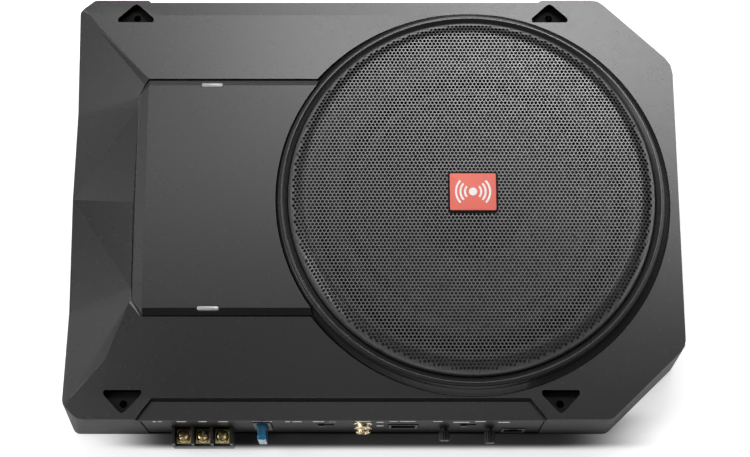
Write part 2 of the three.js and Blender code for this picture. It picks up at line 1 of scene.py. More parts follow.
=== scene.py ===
# Looks of the powered under-seat car subwoofer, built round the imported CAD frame.
# Design millimetres are turned into the row frame's metres by pt(); the casing sits 4.8 mm back in that frame.
import bpy
import bmesh
import json
import math
import random
from mathutils import Vector, Matrix
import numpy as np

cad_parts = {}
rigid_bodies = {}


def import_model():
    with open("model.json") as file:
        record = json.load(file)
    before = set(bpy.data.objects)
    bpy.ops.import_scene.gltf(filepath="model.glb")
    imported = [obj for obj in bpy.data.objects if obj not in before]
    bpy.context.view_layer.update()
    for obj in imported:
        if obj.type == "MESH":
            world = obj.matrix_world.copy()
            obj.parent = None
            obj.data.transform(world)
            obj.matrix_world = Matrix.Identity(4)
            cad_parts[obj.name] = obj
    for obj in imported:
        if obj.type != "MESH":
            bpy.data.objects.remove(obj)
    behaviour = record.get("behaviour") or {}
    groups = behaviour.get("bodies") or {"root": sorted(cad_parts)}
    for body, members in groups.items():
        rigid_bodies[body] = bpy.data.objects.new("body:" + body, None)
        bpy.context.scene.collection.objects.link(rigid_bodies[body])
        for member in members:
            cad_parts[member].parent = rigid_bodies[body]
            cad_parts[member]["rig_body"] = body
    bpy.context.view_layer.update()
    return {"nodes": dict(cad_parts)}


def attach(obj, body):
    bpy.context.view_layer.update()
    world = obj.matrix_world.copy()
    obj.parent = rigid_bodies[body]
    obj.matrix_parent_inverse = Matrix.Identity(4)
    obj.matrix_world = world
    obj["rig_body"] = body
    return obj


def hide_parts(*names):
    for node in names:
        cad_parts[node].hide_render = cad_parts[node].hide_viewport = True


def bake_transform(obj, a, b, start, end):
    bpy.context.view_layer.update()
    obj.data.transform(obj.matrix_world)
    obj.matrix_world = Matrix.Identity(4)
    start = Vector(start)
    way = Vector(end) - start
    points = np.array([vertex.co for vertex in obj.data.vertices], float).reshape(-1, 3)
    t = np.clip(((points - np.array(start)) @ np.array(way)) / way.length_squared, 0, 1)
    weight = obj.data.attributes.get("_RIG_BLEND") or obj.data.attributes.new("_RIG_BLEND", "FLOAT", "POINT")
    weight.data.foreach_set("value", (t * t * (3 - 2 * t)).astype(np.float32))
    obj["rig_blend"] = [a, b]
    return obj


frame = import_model()
NODES = frame["nodes"]
SHIFT = 4.8
CX, CY = 54.9, 2.1
random.seed(7)


def pt(x, y, z):
    return (x * 0.001, (y + SHIFT) * 0.001, z * 0.001)


# ------------------------------------------------------------------ camera
cam_data = bpy.data.cameras.new("camera")
cam_data.lens = 82.9
cam_data.sensor_width = 36.0
cam_data.sensor_fit = "HORIZONTAL"
cam_data.clip_start, cam_data.clip_end = 0.05, 20
camera = bpy.data.objects.new("camera", cam_data)
bpy.context.scene.collection.objects.link(camera)
camera.location = (0.0, -0.2750, 1.0040)
camera.rotation_euler = (0.27175, 0, 0)
bpy.context.scene.camera = camera
bpy.context.scene.view_settings.view_transform = "Standard"
bpy.context.scene.view_settings.look = "None"


# ------------------------------------------------------------------ mesh helpers
class Part:
    def __init__(self):
        self.v, self.f = [], []

    def add(self, shape):
        verts, faces = shape
        o = len(self.v)
        self.v += list(verts)
        self.f += [tuple(i + o for i in f) for f in faces]
        return self

    def shape(self):
        return self.v, self.f


def poly_area(points):
    return sum(points[i - 1][0] * points[i][1] - points[i][0] * points[i - 1][1] for i in range(len(points))) / 2


def loft(lower, z0, upper, z1):
    if poly_area(lower) < 0:
        lower, upper = lower[::-1], upper[::-1]
    n = len(lower)
    v = [(x, y, z0) for x, y in lower] + [(x, y, z1) for x, y in upper]
    f = [tuple(range(n))[::-1], tuple(range(n, 2 * n))]
    f += [(i, (i + 1) % n, n + (i + 1) % n, n + i) for i in range(n)]
    return v, f


def stack(layers):
    """Closed solid through several polygons with as many corners: [(points, z), ...] from low to high."""
    n = len(layers[0][0])
    flip = poly_area(layers[0][0]) < 0
    v = []
    for pts, z in layers:
        v += [(x, y, z) for x, y in (pts[::-1] if flip else pts)]
    f = [tuple(range(n))[::-1], tuple(range((len(layers) - 1) * n, len(layers) * n))]
    for k in range(len(layers) - 1):
        f += [(k * n + i, k * n + (i + 1) % n, (k + 1) * n + (i + 1) % n, (k + 1) * n + i) for i in range(n)]
    return v, f


def block(x0, x1, y0, y1, z0, z1):
    return loft([(x0, y0), (x1, y0), (x1, y1), (x0, y1)], z0, [(x0, y0), (x1, y0), (x1, y1), (x0, y1)], z1)


def rounded(points, radius, steps=6):
    out, n = [], len(points)
    for i, p in enumerate(points):
        v = Vector(p)
        a, b = Vector(points[i - 1]) - v, Vector(points[(i + 1) % n]) - v
        r = radius[i] if isinstance(radius, (list, tuple)) else radius
        if r <= 0:
            out.append(tuple(p))
            continue
        half = math.acos(max(-1, min(1, a.normalized().dot(b.normalized())))) / 2
        cut = min(r / max(math.tan(half), 1e-6), a.length * 0.48, b.length * 0.48)
        p0, p1 = v + a.normalized() * cut, v + b.normalized() * cut
        for k in range(steps + 1):
            t = k / steps
            q = p0 * (1 - t) ** 2 + v * 2 * t * (1 - t) + p1 * t * t
            out.append((q.x, q.y))
    return out


def soften(profile, radius, closed=True, steps=3):
    """A profile with its corners rounded; open profiles keep their ends."""
    if closed:
        return rounded(profile, radius, steps)
    n = len(profile)
    rad = [0 if i in (0, n - 1) else radius for i in range(n)]
    return rounded(profile, rad, steps)


def lathe(profile, seg, x=CX, y=CY, axis="Z"):
    """Turned solid. The profile is (radius, height) pairs, closed on itself, or ends on the axis."""
    open_ended = profile[0][0] < 1e-6
    v, f, rings = [], [], []
    for r, h in profile:
        if r < 1e-6:
            rings.append([len(v)])
            v.append((0, 0, h))
        else:
            rings.append(list(range(len(v), len(v) + seg)))
            v += [(r * math.cos(2 * math.pi * k / seg), r * math.sin(2 * math.pi * k / seg), h) for k in range(seg)]
    pairs = list(zip(rings, rings[1:])) + ([] if open_ended else [(rings[-1], rings[0])])
    for a, b in pairs:
        for k in range(seg):
            j = (k + 1) % seg
            if len(a) == 1 and len(b) == 1:
                break
            if len(a) == 1:
                f.append((a[0], b[k], b[j]))
            elif len(b) == 1:
                f.append((a[k], b[0], a[j]))
            else:
                f.append((a[k], b[k], b[j], a[j]))
    if axis == "Z":
        v = [(x + a, y + b, h) for a, b, h in v]
    else:  # about an axis along Y at (x, z): the profile's second number is y
        v = [(x + a, h, y + b) for a, b, h in v]
    return v, f


def make(name, shape, body="enclosure", mat=None, replaces=(), sharp=35, ride=True, recalc=True):
    verts, faces = shape if isinstance(shape, tuple) else shape.shape()
    me = bpy.data.meshes.new(name)
    me.from_pydata([pt(*p) for p in verts], [], faces)
    ob = bpy.data.objects.new(name, me)
    bpy.context.scene.collection.objects.link(ob)
    if recalc:
        bm = bmesh.new()
        bm.from_mesh(me)
        bmesh.ops.recalc_face_normals(bm, faces=bm.faces)
        bm.to_mesh(me)
        bm.free()
    settle(ob, body, mat, replaces, sharp, ride)
    return ob


def settle(ob, body, mat, replaces, sharp=35, ride=True):
    me = ob.data
    me.shade_smooth()
    if sharp is not None:
        me.set_sharp_from_angle(angle=math.radians(sharp))
    if mat:
        me.materials.clear()
        me.materials.append(mat)
    if replaces:
        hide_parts(*replaces)
    if ride:
        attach(ob, body)


def bake(ob):
    """Replaces an object's mesh by the result of its modifiers."""
    dg = bpy.context.evaluated_depsgraph_get()
    dg.update()
    me = bpy.data.meshes.new_from_object(ob.evaluated_get(dg), depsgraph=dg)
    ob.modifiers.clear()
    old = ob.data
    ob.data = me
    bpy.data.meshes.remove(old)
    return ob


def cut(ob, shape, op="DIFFERENCE"):
    me = bpy.data.meshes.new("cutter")
    me.from_pydata([pt(*p) for p in shape[0]], [], shape[1])
    c = bpy.data.objects.new("cutter", me)
    bpy.context.scene.collection.objects.link(c)
    bm = bmesh.new()
    bm.from_mesh(me)
    bmesh.ops.recalc_face_normals(bm, faces=bm.faces)
    bm.to_mesh(me)
    bm.free()
    m = ob.modifiers.new("cut", "BOOLEAN")
    m.operation, m.object, m.solver = op, c, "EXACT"
    bake(ob)
    bpy.data.objects.remove(c)
    bpy.data.meshes.remove(me)
    return ob


def bevel(ob, width, segments=3, angle=20, clamp=True, keep=None):
    """Rounds the edges sharper than angle; keep(midpoint in design mm) picks among them."""
    me = ob.data
    bm = bmesh.new()
    bm.from_mesh(me)
    layer = bm.edges.layers.float.get("bevel_weight_edge") or bm.edges.layers.float.new("bevel_weight_edge")
    lim = math.radians(angle)
    for e in bm.edges:
        w = 0.0
        if len(e.link_faces) == 2 and e.calc_face_angle(0) > lim:
            mid = (e.verts[0].co + e.verts[1].co) * 500
            w = 1.0 if keep is None else float(keep(mid.x, mid.y - SHIFT, mid.z, e))
        e[layer] = w
    bm.to_mesh(me)
    bm.free()
    m = ob.modifiers.new("round", "BEVEL")
    m.width, m.segments, m.limit_method = width * 0.001, segments, "WEIGHT"
    m.use_clamp_overlap, m.harden_normals = clamp, False
    m.miter_outer = "MITER_ARC"
    n = ob.modifiers.new("weigh", "WEIGHTED_NORMAL")
    n.weight, n.keep_sharp, n.mode = 60, True, "FACE_AREA"
    return ob


def refined(node, width, segments=3, angle=20, mat=None, name=None, cuts=(), clamp=True, keep=None, flat=0.4, apply=True):
    """A finer copy of a CAD node: merged flats, rounded edges. It stands for the node."""
    ob = bpy.data.objects.new(name or node + "_skin", NODES[node].data.copy())
    bpy.context.scene.collection.objects.link(ob)
    bm = bmesh.new()
    bm.from_mesh(ob.data)
    bmesh.ops.remove_doubles(bm, verts=bm.verts, dist=2e-6)
    bm.to_mesh(ob.data)
    bm.free()
    for c in cuts:
        cut(ob, c)
    bm = bmesh.new()
    bm.from_mesh(ob.data)
    bmesh.ops.remove_doubles(bm, verts=bm.verts, dist=4e-6)
    bmesh.ops.dissolve_limit(bm, angle_limit=math.radians(flat), use_dissolve_boundaries=False, verts=bm.verts, edges=bm.edges)
    bmesh.ops.recalc_face_normals(bm, faces=bm.faces)
    bm.to_mesh(ob.data)
    bm.free()
    for a in [a.name for a in ob.data.attributes if a.name in ("custom_normal", "sharp_edge")]:
        ob.data.attributes.remove(ob.data.attributes[a])
    body = NODES[node]["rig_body"]
    ob.data.shade_smooth()
    bevel(ob, width, segments, angle, clamp, keep)
    if apply:
        bake(ob)
    ob.data.materials.clear()
    if mat:
        ob.data.materials.append(mat)
    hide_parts(node)
    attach(ob, body)
    return ob


# ------------------------------------------------------------------ materials
def material(name, color, rough, metal=0.0, spec=0.5, vary=0.12, vscale=60, rvar=0.08, rscale=180,
             grain=0.0, gscale=2200, gdist=0.00006, wear_and_highlight=0.0, wear_and_highlight_color=None, wear_and_highlight_r=0.0007, coat=0.0,
             coat_rough=0.1, sheen=0.0, transmission=0.0, ior=1.5, weave=None, brushed=None, dust=0.0):
    m = bpy.data.materials.new(name)
    m.use_nodes = True
    nt = m.node_tree
    nt.nodes.clear()
    N, L = nt.nodes.new, nt.links.new
    out, bsdf = N("ShaderNodeOutputMaterial"), N("ShaderNodeBsdfPrincipled")
    L(bsdf.outputs["BSDF"], out.inputs["Surface"])
    bsdf.inputs["Metallic"].default_value = metal
    bsdf.inputs["IOR"].default_value = ior
    bsdf.inputs["Specular IOR Level"].default_value = spec
    bsdf.inputs["Coat Weight"].default_value = coat
    bsdf.inputs["Coat Roughness"].default_value = coat_rough
    bsdf.inputs["Sheen Weight"].default_value = sheen
    bsdf.inputs["Transmission Weight"].default_value = transmission
    tc = N("ShaderNodeTexCoord")
    co = tc.outputs["Object"]

    def noise(scale, detail=3, rough_=0.5, vec=None):
        n = N("ShaderNodeTexNoise")
        n.inputs["Scale"].default_value = scale
        n.inputs["Detail"].default_value = detail
        n.inputs["Roughness"].default_value = rough_
        L(vec or co, n.inputs["Vector"])
        return n.outputs["Fac"]

    def remap(sock, a, b, lo, hi):
        r = N("ShaderNodeMapRange")
        for k, val in (("From Min", a), ("From Max", b), ("To Min", lo), ("To Max", hi)):
            r.inputs[k].default_value = val
        L(sock, r.inputs["Value"])
        return r.outputs["Result"]

    def mix(fac, a, b):
        x = N("ShaderNodeMix")
        x.data_type = "RGBA"
        L(fac, x.inputs[0])
        for sock, val in ((x.inputs[6], a), (x.inputs[7], b)):
            if hasattr(val, "is_linked"):
                L(val, sock)
            else:
                sock.default_value = (*val, 1)
        return x.outputs[2]

    c = color
    base = mix(remap(noise(vscale, 4), 0.3, 0.7, 0, 1), tuple(v * (1 - vary) for v in c), tuple(min(1, v * (1 + vary)) for v in c))
    rsock = remap(noise(rscale, 3), 0.3, 0.7, max(0.02, rough - rvar), min(1, rough + rvar))
    # lighter edges: partly worn finish, partly a painted highlight along edges and creases, found with the Bevel node
    if wear_and_highlight:
        bev, geo = N("ShaderNodeBevel"), N("ShaderNodeNewGeometry")
        bev.samples = 4
        bev.inputs["Radius"].default_value = wear_and_highlight_r
        dot = N("ShaderNodeVectorMath")
        dot.operation = "DOT_PRODUCT"
        L(bev.outputs["Normal"], dot.inputs[0])
        L(geo.outputs["Normal"], dot.inputs[1])
        edge = remap(dot.outputs["Value"], 0.99, 0.9, 0, 1)
        brk = remap(noise(900, 2), 0.42, 0.62, 0.15, 1)
        mul = N("ShaderNodeMath")
        mul.operation = "MULTIPLY"
        L(edge, mul.inputs[0])
        L(brk, mul.inputs[1])
        m2 = N("ShaderNodeMath")
        m2.operation = "MULTIPLY"
        m2.inputs[1].default_value = wear_and_highlight
        L(mul.outputs[0], m2.inputs[0])
        base = mix(m2.outputs[0], base, wear_and_highlight_color or tuple(min(1, v * 2.2 + 0.02) for v in c))
    if dust:
        base = mix(remap(noise(14, 5, 0.6), 0.45, 0.75, 0, dust), base, (0.32, 0.31, 0.30))
    L(base, bsdf.inputs["Base Color"])
    L(rsock, bsdf.inputs["Roughness"])
    height = None
    if weave:
        sx = N("ShaderNodeTexWave")
        sx.inputs["Scale"].default_value = weave
        sx.inputs["Distortion"].default_value = 0.6
        sx.bands_direction = "X"
        L(co, sx.inputs["Vector"])
        sy = N("ShaderNodeTexWave")
        sy.inputs["Scale"].default_value = weave
        sy.inputs["Distortion"].default_value = 0.6
        sy.bands_direction = "Y"
        L(co, sy.inputs["Vector"])
        ad = N("ShaderNodeMath")
        ad.operation = "ADD"
        L(sx.outputs["Fac"], ad.inputs[0])
        L(sy.outputs["Fac"], ad.inputs[1])
        height = ad.outputs[0]
    elif brushed:
        mp = N("ShaderNodeMapping")
        mp.inputs["Scale"].default_value = brushed
        L(co, mp.inputs["Vector"])
        height = noise(300, 4, 0.6, mp.outputs["Vector"])
    elif grain:
        height = noise(gscale, 3, 0.55)
    if height is not None:
        b = N("ShaderNodeBump")
        b.inputs["Strength"].default_value = grain or 0.3
        b.inputs["Distance"].default_value = gdist
        L(height, b.inputs["Height"])
        L(b.outputs["Normal"], bsdf.inputs["Normal"])
    return m


M = {
    # the lighter edge colours below are partly wear and partly a painted highlight along the edges
    "cast_shell": material("cast_shell", (0.014, 0.014, 0.0145), 0.27, spec=0.5, vary=0.02, vscale=35, rvar=0.006, wear_and_highlight=0.5, wear_and_highlight_color=(0.09, 0.09, 0.092)),
    # painted shade for the outer walls: a darker, duller copy of the shell finish
    "shell_wall_painted_shade": material("shell_wall_painted_shade", (0.010, 0.010, 0.0105), 0.50, spec=0.10, vary=0.03, vscale=35, rvar=0.02, wear_and_highlight=0.4, wear_and_highlight_color=(0.06, 0.06, 0.062)),
    # painted shade for the insides of the mounting pockets: near-black and dull
    "recess": material("recess", (0.0035, 0.0035, 0.0036), 0.55, spec=0.12, vary=0.1, grain=0.2, gscale=2400),
    "cover": material("cover", (0.014, 0.014, 0.0145), 0.27, spec=0.5, vary=0.02, vscale=30, rvar=0.006, wear_and_highlight=0.5, wear_and_highlight_color=(0.10, 0.10, 0.102)),
    "trim": material("trim", (0.014, 0.014, 0.0145), 0.27, spec=0.5, vary=0.02, rvar=0.006, gscale=2600, wear_and_highlight=0.4, wear_and_highlight_color=(0.10, 0.10, 0.10)),
    "panel_plastic": material("panel_plastic", (0.006, 0.006, 0.0065), 0.45, spec=0.12, vary=0.05, rvar=0.03, grain=0.05, gscale=2400, wear_and_highlight=0.3, wear_and_highlight_color=(0.05, 0.05, 0.05)),
    "grille_steel": material("grille_steel", (0.065, 0.065, 0.066), 0.30, spec=1.0, vary=0.05, vscale=80, rvar=0.03, grain=0.10, gscale=3500, gdist=0.00003),
    "badge": material("badge", (0.90, 0.20, 0.155), 0.5, spec=0.25, vary=0.03, vscale=90, rvar=0.03, grain=0.02, gscale=700),
    "badge_rim": material("badge_rim", (0.010, 0.006, 0.006), 0.6, spec=0.15, grain=0.1),
    "badge_mark": material("badge_mark", (0.95, 0.94, 0.93), 0.5, vary=0.03, grain=0.08),
    "lens": material("lens", (0.42, 0.43, 0.43), 0.20, vary=0.06, vscale=260, rvar=0.06, grain=0.2, gscale=1800, coat=0.3),
    "brass": material("brass", (0.98, 0.77, 0.40), 0.17, metal=1, vary=0.10, vscale=300, rvar=0.08, grain=0.25, gscale=1500, wear_and_highlight=0.3, wear_and_highlight_color=(0.85, 0.70, 0.42), wear_and_highlight_r=0.0004),
    "gold_plate": material("gold_plate", (0.88, 0.76, 0.52), 0.24, metal=1, vary=0.06, vscale=300, rvar=0.06, grain=0.15, gscale=1500),
    "rubber": material("rubber", (0.010, 0.010, 0.0105), 0.62, spec=0.30, vary=0.12, vscale=120, grain=0.4, gscale=1700, sheen=0.1),
    "cone_paper": material("cone_paper", (0.012, 0.012, 0.0125), 0.60, spec=0.25, vary=0.18, vscale=300, rvar=0.10, grain=0.6, gscale=900, gdist=0.0001),
    "spider_cloth": material("spider_cloth", (0.28, 0.17, 0.06), 0.85, vary=0.15, vscale=200, weave=900, grain=0.5, gdist=0.0002),
    "ferrite": material("ferrite", (0.03, 0.028, 0.026), 0.7, vary=0.25, vscale=260, grain=0.6, gscale=700),
    "steel": material("steel", (0.42, 0.42, 0.41), 0.32, metal=1, vary=0.10, vscale=240, rvar=0.10, grain=0.25, brushed=(1, 1, 12), wear_and_highlight=0.3, wear_and_highlight_color=(0.7, 0.7, 0.7)),
    "aluminium": material("aluminium", (0.60, 0.60, 0.61), 0.36, metal=1, vary=0.06, rvar=0.08, grain=0.3, brushed=(0.4, 12, 12)),
    "board": material("board", (0.012, 0.075, 0.026), 0.34, vary=0.2, vscale=150, grain=0.2, coat=0.3),
    "component_black": material("component_black", (0.014, 0.014, 0.015), 0.45, grain=0.35, gscale=1800, wear_and_highlight=0.2, wear_and_highlight_color=(0.05, 0.05, 0.05)),
    "winding": material("winding", (0.45, 0.14, 0.045), 0.30, metal=1, vary=0.15, vscale=200, weave=700, grain=0.6, gdist=0.0003),
    "fuse_blue": material("fuse_blue", (0.016, 0.17, 0.33), 0.16, vary=0.06, vscale=200, rvar=0.04, grain=0.06, gscale=600, transmission=0.0, ior=1.47),
    "white_plastic": material("white_plastic", (0.68, 0.67, 0.63), 0.38, vary=0.05, grain=0.2, gscale=1600),
    "red_plastic": material("red_plastic", (0.30, 0.012, 0.011), 0.35, vary=0.08, grain=0.2, gscale=1600),
    "knob": material("knob", (0.016, 0.016, 0.017), 0.48, grain=0.4, gscale=2400, wear_and_highlight=0.4, wear_and_highlight_color=(0.09, 0.09, 0.09), wear_and_highlight_r=0.0004),
    "print": material("panel_print", (0.85, 0.85, 0.85), 0.6, vary=0.1, vscale=900, grain=0.2),
    "fuse_metal": material("fuse_metal", (0.62, 0.62, 0.60), 0.25, metal=1, vary=0.08, grain=0.2, brushed=(12, 1, 1)),
}

# ------------------------------------------------------------------ casing
R_CUT = 114.4


def casing_round(x, y, z, e):
    """Share of the widest fillet: generous along the ledges and the outer rim, small elsewhere."""
    if z > 50.8 and (y > 114.5 or y < -108.5) and -137 < x < 103:
        return 1.0
    if z > 53.5 and (abs(x) > 168 or y > 122 or y < -122 or x * 0.69 + abs(y) * 0.72 > 178):
        return 0.9
    return 0.5


casing = refined("top_shell", 1.15, 3, 4, M["cast_shell"], name="casing",
                 cuts=[lathe([(0, 44), (R_CUT, 44), (R_CUT, 75), (0, 75)], 256)], clamp=True, keep=casing_round)

# painted shade: the insides of the mounting pockets take a near-black dull finish that stands in for the shade in them,
# and the outer walls take a darker, duller copy of the top's finish as painted shade
POCKETS = ((-141.2, 115.9, 1), (103.2, 115.9, 1), (-140.6, -115.4, -1), (103.4, -115.4, -1))
casing.data.materials.append(M["recess"])
casing.data.materials.append(M["shell_wall_painted_shade"])
for f in casing.data.polygons:
    c = f.center * 1000
    cx, cy, cz = c.x, c.y - SHIFT, c.z
    if 44 < cz < (53.6 if abs(f.normal.z) < 0.7 else 49.5):
        for px, py, side in POCKETS:
            back = 4.8 if side > 0 else 7.0
            if abs(cx - px) < 10.75 and -(back + 0.2) < (cy - py) * side < 7.7:
                f.material_index = 1
    # painted shade: the outer walls below the top take the darker, duller copy of the shell finish
    if f.material_index == 0 and abs(f.normal.z) < 0.4 and cz < 51 and (abs(cx) > 165 or abs(cy) > 120 or abs(cx) * 0.69 + abs(cy) * 0.72 > 175):
        f.material_index = 2

collar_profile = soften([(94.2, 46.6), (94.2, 50), (102.1, 50), (102.1, 57), (104.9, 57), (104.9, 61.4), (109.9, 61.4),
                         (111.2, 58.5), (112.7, 56.3), (114.3, 54.3), (114.35, 51.5), (107, 46.6)],
                        [0.2, 0.2, 0.3, 0.3, 0.3, 0.3, 0.6, 1.6, 1.6, 0.5, 0.2, 0.3], steps=4)
make("woofer_collar", lathe(collar_profile, 256), mat=M["cast_shell"], sharp=40)
ring_profile = soften([(104.95, 61.5), (109.55, 61.5), (109.5, 62.2), (108.6, 63.2), (107.8, 63.2), (105.3, 61.95), (104.95, 61.75)],
                      [0.1, 0.15, 0.3, 0.45, 0.4, 0.5, 0.1], steps=4)
make("bezel_ring", lathe(ring_profile, 256), mat=M["trim"], replaces=["grille_trim_ring"], sharp=50)

refined("amp_cover", 0.42, 3, 12, M["cover"], name="amp_cover_skin")


def pill(x, y, z0, z1, name, node):
    def ring_(g):
        return rounded([(x - 6.2 + g, y - 1.25 + g), (x + 6.2 - g, y - 1.25 + g), (x + 6.2 - g, y + 1.25 - g), (x - 6.2 + g, y + 1.25 - g)], 1.24 - g, 8)
    make(name, stack([(ring_(0), z0), (ring_(0), z1 - 0.45), (ring_(0.12), z1 - 0.18), (ring_(0.4), z1)]), mat=M["lens"], replaces=[node], sharp=60)


pill(-94.6, 70.1, 55.8, 59.3, "power_light", "power_light_lens")
pill(-93.8, -62.8, 55.8, 59.3, "protect_light", "protect_light_lens")

# ------------------------------------------------------------------ perforated grille
PITCH = 2.194
ROW = PITCH * math.sqrt(3) / 2
R_HOLE = 1.02         # corner radius of a hole
R_MESH = 103.5         # the perforated field ends here
BADGE = (41.3, 69.3, -10.2, 13.4)


def grille_z(r):
    """Height of the pressed grille: nearly flat, rolled down at the rim."""
    if r <= 94.6:
        return 70.0 - 0.3 * (r / 94.6) ** 2
    t = min(1.0, (r - 94.6) / 9.7)
    return 69.7 - 6.4 * (1 - math.sqrt(max(0.0, 1 - t * t)))


def grille_mesh():
    verts, faces, corner = [], [], {}

    def vert(x, y, drop=0.0, snap=False):
        r = math.hypot(x, y)
        if snap and r > R_MESH:
            x, y, r = x * R_MESH / r, y * R_MESH / r, R_MESH
        verts.append((CX + x, CY + y, grille_z(r) - drop))
        return len(verts) - 1

    def shared(x, y):
        key = (round(x * 200), round(y * 200))
        for dx in (-1, 0, 1):
            for dy in (-1, 0, 1):
                if (key[0] + dx, key[1] + dy) in corner:
                    return corner[(key[0] + dx, key[1] + dy)]
        corner[key] = vert(x, y, snap=True)
        return corner[key]

    rc = PITCH / math.sqrt(3)
    n = int(R_MESH / ROW) + 2
    for j in range(-n, n + 1):
        y = j * ROW
        for i in range(-n, n + 1):
            x = (i + 0.5 * (j % 2)) * PITCH
            r = math.hypot(x, y)
            if r > R_MESH - 0.1:
                continue
            ang = [math.radians(30 + 60 * k) for k in range(6)]
            outer = [shared(x + rc * math.cos(a), y + rc * math.sin(a)) for a in ang]
            if len(set(outer)) < 3:
                continue
            bx, by = CX + x, CY + y
            plain = r > R_MESH - 0.35 or (BADGE[0] + 0.7 < bx < BADGE[1] - 0.7 and BADGE[2] + 0.7 < by < BADGE[3] - 0.7)
            if plain:
                faces.append(tuple(outer))
                continue
            hole = []
            for a in ang:
                hx, hy = x + R_HOLE * math.cos(a), y + R_HOLE * math.sin(a)
                hr = math.hypot(hx, hy)
                t = min(1.0, (R_MESH - 0.16) / hr)
                hole.append((hx * t, hy * t))
            top = [vert(hx, hy) for hx, hy in hole]
            low = [vert(hx, hy, 0.8) for hx, hy in hole]
            for k in range(6):
                q = (k + 1) % 6
                faces.append((outer[k], outer[q], top[q], top[k]))
                # two of a hole's six walls are left out, to stay under 200,000 triangles in the piece
                if k not in (3, 4) or r > R_MESH - 5:
                    faces.append((top[k], top[q], low[q], low[k]))
    # the rolled border: the outline of the field, drawn out to a true circle, carried down to the skirt
    edges = {}
    for f in faces:
        for a, b in zip(f, f[1:] + f[:1]):
            if (b, a) in edges:
                del edges[(b, a)]
            else:
                edges[(a, b)] = True
    rim = [(a, b) for a, b in edges if min(math.hypot(verts[k][0] - CX, verts[k][1] - CY) for k in (a, b)) > R_MESH - 3
           and min(verts[a][2], verts[b][2]) > grille_z(R_MESH) - 0.3]
    for k in {k for e in rim for k in e}:
        x, y = verts[k][0] - CX, verts[k][1] - CY
        r = math.hypot(x, y)
        verts[k] = (CX + x * R_MESH / r, CY + y * R_MESH / r, grille_z(R_MESH))
    levels = [(103.95, grille_z(103.95)), (104.3, 63.2), (104.4, 60.5), (104.4, 57.4), (103.3, 57.4), (103.1, 62.2), (102.6, 64.2)]
    loops = {}
    for a, b in rim:
        for k in (a, b):
            if k not in loops:
                x, y = verts[k][0] - CX, verts[k][1] - CY
                r = math.hypot(x, y)
                col = [k]
                for rr, zz in levels:
                    verts.append((CX + x * rr / r, CY + y * rr / r, zz))
                    col.append(len(verts) - 1)
                loops[k] = col
        for q in range(len(levels)):
            faces.append((loops[b][q], loops[a][q], loops[a][q + 1], loops[b][q + 1]))
    return verts, faces


gv, gf = grille_mesh()
make("grille_mesh", (gv, gf), mat=M["grille_steel"], replaces=["grille"], sharp=30, recalc=False)

# badge: a dark rim, a glossy red plate and a plain sound-wave mark
bx0, bx1, by0, by1 = BADGE


def plate_outline(g, r):
    return rounded([(bx0 + g, by0 + g), (bx1 - g, by0 + g), (bx1 - g, by1 - g), (bx0 + g, by1 - g)], r, 6)


make("badge_rim", stack([(plate_outline(0.0, 1.6), 70.1), (plate_outline(0.0, 1.6), 71.0), (plate_outline(0.12, 1.5), 71.2), (plate_outline(0.5, 1.2), 71.25)]),
     mat=M["badge_rim"], sharp=50)
make("badge_plate", stack([(plate_outline(0.95, 0.9), 70.6), (plate_outline(0.95, 0.9), 71.4), (plate_outline(1.05, 0.8), 71.58), (plate_outline(1.3, 0.6), 71.66)]),
     mat=M["badge"], replaces=["grille_badge"], sharp=50)


def arc_band(cx, cy, r, w, a0, a1, z0, z1, n=28):
    outer = [(cx + (r + w / 2) * math.cos(a), cy + (r + w / 2) * math.sin(a)) for a in [math.radians(a0 + (a1 - a0) * k / n) for k in range(n + 1)]]
    inner = [(cx + (r - w / 2) * math.cos(a), cy + (r - w / 2) * math.sin(a)) for a in [math.radians(a0 + (a1 - a0) * k / n) for k in range(n + 1)]]
    pts = outer + inner[::-1]
    return loft(pts, z0, pts, z1)


mark = Part()
mcx, mcy = (bx0 + bx1) / 2, (by0 + by1) / 2
disc = [(mcx + 2.3 * math.cos(2 * math.pi * k / 48), mcy + 2.3 * math.sin(2 * math.pi * k / 48)) for k in range(48)]
mark.add(loft(disc, 71.6, disc, 71.78))
for rr in (4.6, 7.1, 9.6):
    for a0, a1 in ((-42, 42), (138, 222)):
        mark.add(arc_band(mcx, mcy, rr, 1.15, a0, a1, 71.6, 71.78))
make("badge_mark", mark, mat=M["badge_mark"], sharp=40)

# ------------------------------------------------------------------ woofer
def ease(t):
    t = max(0.0, min(1.0, t))
    return t * t * (3 - 2 * t)


def radial_blend(ob, r_fixed, r_moving):
    """The piece follows the enclosure at r_fixed and the cone at r_moving."""
    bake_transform(ob, "enclosure", "cone_assembly", start=(0, 0, 0), end=(0, 0, 1))
    att = ob.data.attributes["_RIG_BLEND"]
    for i, v in enumerate(ob.data.vertices):
        r = math.hypot(v.co.x * 1000 - CX, v.co.y * 1000 - SHIFT - CY)
        att.data[i].value = ease((r_fixed - r) / (r_fixed - r_moving))


def roll(r, z, a0, a1, n):
    return [(78.5 + r * math.cos(math.radians(a0 + (a1 - a0) * k / n)), z + 0.86 * r * math.sin(math.radians(a0 + (a1 - a0) * k / n))) for k in range(n + 1)]


make("gasket_ring", lathe(soften([(95.2, 53.2), (101.5, 53.2), (101.5, 54.8), (95.2, 54.8)], 0.5), 160), mat=M["rubber"], replaces=["woofer_gasket"])
sur = make("rubber_surround", lathe([(94, 53.2), (94, 54)] + roll(10.4, 54, 0, 180, 28) + [(63.2, 54), (63.2, 53.2)] + roll(9.6, 53.2, 180, 0, 28), 160),
           mat=M["rubber"], replaces=["surround"], ride=False, sharp=50)
radial_blend(sur, 92.5, 65.0)

